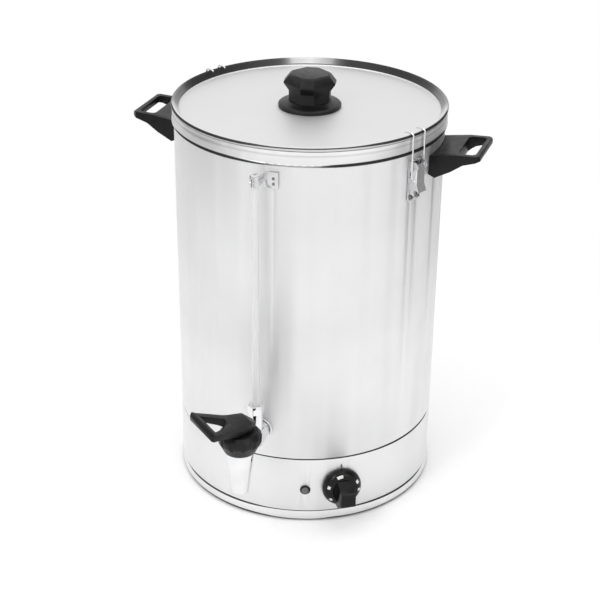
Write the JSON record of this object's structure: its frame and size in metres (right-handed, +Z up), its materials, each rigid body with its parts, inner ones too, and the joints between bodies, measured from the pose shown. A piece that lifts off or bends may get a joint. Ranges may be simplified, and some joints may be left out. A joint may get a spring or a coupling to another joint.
{
  "type": "hot water urn",
  "caption": "Stainless hot water urn with latched lift-off lid, side handles, sight gauge, swivelling lever tap, control knob and base housing.",
  "frame": {"origin": "centre of the base, on the tank's axis, in the plane that the feet stand on", "axes": "+Z up along the tank's axis; the tap and the sight gauge face -Y; the handles point along +X and -X"},
  "size_m": [0.38, 0.4104, 0.46],
  "materials": {
    "polished_steel": "polished stainless steel sheet",
    "satin_steel": "satin stainless steel",
    "zinc_steel": "zinc-plated steel",
    "chrome": "bright chrome plate",
    "black_moulding": "satin heat-resistant moulding",
    "gloss_black": "glossy heat-resistant moulding",
    "black_rubber": "matt rubber",
    "silicone": "translucent grey silicone",
    "gauge_glass": "clear glass tube",
    "aluminium": "cast and milled aluminium",
    "brass": "turned brass",
    "copper_bulb": "copper bulb and capillary",
    "lamp_lens": "smoked red lens",
    "stat_case": "cream moulded case",
    "terminal_moulding": "white moulded block",
    "red_button": "glossy red cap"
  },
  "bodies": {
    "root": {"tank_shell": "polished_steel", "tank_floor": "polished_steel", "base_housing": "polished_steel", "base_ring": "polished_steel", "base_plate": "zinc_steel", "rubber_feet": "black_rubber", "floor_studs": "zinc_steel", "stud_nuts": "zinc_steel", "heat_spreader": "aluminium", "heating_element": "satin_steel", "element_clamp_plate": "zinc_steel", "thermostat_body": "stat_case", "thermostat_bulb": "copper_bulb", "lamp_body": "stat_case", "lamp_bezel": "black_moulding", "lamp_lens": "lamp_lens", "cutout_body": "stat_case", "cord_gland": "black_moulding", "cord_gland_nut": "black_moulding", "terminal_block": "terminal_moulding", "terminal_screws": "zinc_steel", "earth_terminal": "brass", "handle_right": "black_moulding", "handle_left": "black_moulding", "handle_bolts": "satin_steel", "handle_washers": "satin_steel", "latch_plate_front": "satin_steel", "latch_plate_rear": "satin_steel", "gauge_tube": "gauge_glass", "gauge_tee": "chrome", "gauge_seal": "silicone", "gauge_gland_nut": "chrome", "gauge_clip": "satin_steel", "gauge_clip_screw": "zinc_steel", "tap_body": "chrome", "tap_shank": "chrome", "shank_collar": "chrome", "shank_seal": "silicone", "shank_lock_nut": "brass", "tap_bonnet": "black_moulding", "panel_nuts": "zinc_steel", "latch_pins": "satin_steel", "wall_rivets": "satin_steel"},
    "control_knob": {"control_knob": "gloss_black", "thermostat_shaft": "zinc_steel"},
    "reset_button": {"reset_button": "red_button"},
    "tap_swivel": {"tap_swivel_washer": "black_moulding"},
    "tap_stem": {"tap_stem": "chrome", "tap_seat_cup": "silicone", "tap_spring": "satin_steel"},
    "tap_lever": {"tap_lever": "black_moulding", "tap_lever_pin": "satin_steel"},
    "lid": {"lid_pan": "polished_steel", "lid_knob": "black_moulding", "lid_knob_washer": "satin_steel", "lid_knob_screw": "satin_steel"},
    "latch_lever_front": {"latch_lever_front": "chrome"},
    "latch_bail_front": {"latch_bail_front": "chrome"},
    "latch_lever_rear": {"latch_lever_rear": "chrome"},
    "latch_bail_rear": {"latch_bail_rear": "chrome"}
  },
  "joints": [
    {"name": "control_knob_turn", "type": "hinge", "parent": "root", "child": "control_knob", "pos_m": [0.08145, -0.11632, 0.0435], "axis": [0.5736, -0.8192, 0], "range_deg": [-270, 0]},
    {"name": "reset_button_press", "type": "slide", "parent": "root", "child": "reset_button", "axis": [-0.3746, -0.9272, 0], "range_m": [0, 0.0015], "stiffness_N_per_m": 300, "springref_m": -0.003},
    {"name": "tap_swivel_turn", "type": "hinge", "parent": "root", "child": "tap_swivel", "pos_m": [0, -0.2035, 0.1458], "axis": [0, 0, 1], "range_deg": [-80, 160]},
    {"name": "tap_stem_lift", "type": "slide", "parent": "tap_swivel", "child": "tap_stem", "axis": [0, 0, 1], "range_m": [0, 0.0036], "deforming": ["tap_spring"]},
    {"name": "tap_lever_press", "type": "hinge", "parent": "tap_stem", "child": "tap_lever", "pos_m": [0, -0.2035, 0.151], "axis": [0.766, -0.6428, 0], "range_deg": [0, 20], "stiffness_Nm_per_rad": 0.4, "springref_deg": -34.38},
    {"name": "lid_lift", "type": "slide", "parent": "root", "child": "lid", "axis": [0, 0, 1], "range_m": [0, 0.15]},
    {"name": "latch_lever_front_throw", "type": "hinge", "parent": "root", "child": "latch_lever_front", "pos_m": [0.1359, -0.05937, 0.399], "axis": [-0.4003, -0.9164, 0], "range_deg": [0, 150]},
    {"name": "latch_bail_front_swing", "type": "hinge", "parent": "latch_lever_front", "child": "latch_bail_front", "pos_m": [0.13434, -0.05869, 0.386], "axis": [-0.4003, -0.9164, 0], "range_deg": [-181, 0]},
    {"name": "latch_lever_rear_throw", "type": "hinge", "parent": "root", "child": "latch_lever_rear", "pos_m": [-0.1359, 0.05937, 0.399], "axis": [0.4003, 0.9164, 0], "range_deg": [0, 150]},
    {"name": "latch_bail_rear_swing", "type": "hinge", "parent": "latch_lever_rear", "child": "latch_bail_rear", "pos_m": [-0.13434, 0.05869, 0.386], "axis": [0.4003, 0.9164, 0], "range_deg": [-181, 0]}
  ],
  "couplings": [
    {"joint": "tap_stem_lift", "follows": "tap_lever_press", "m_per_rad": 0.010027},
    {"joint": "latch_bail_front_swing", "follows": "latch_lever_front_throw", "ratio": -1.2},
    {"joint": "latch_bail_rear_swing", "follows": "latch_lever_rear_throw", "ratio": -1.2}
  ]
}
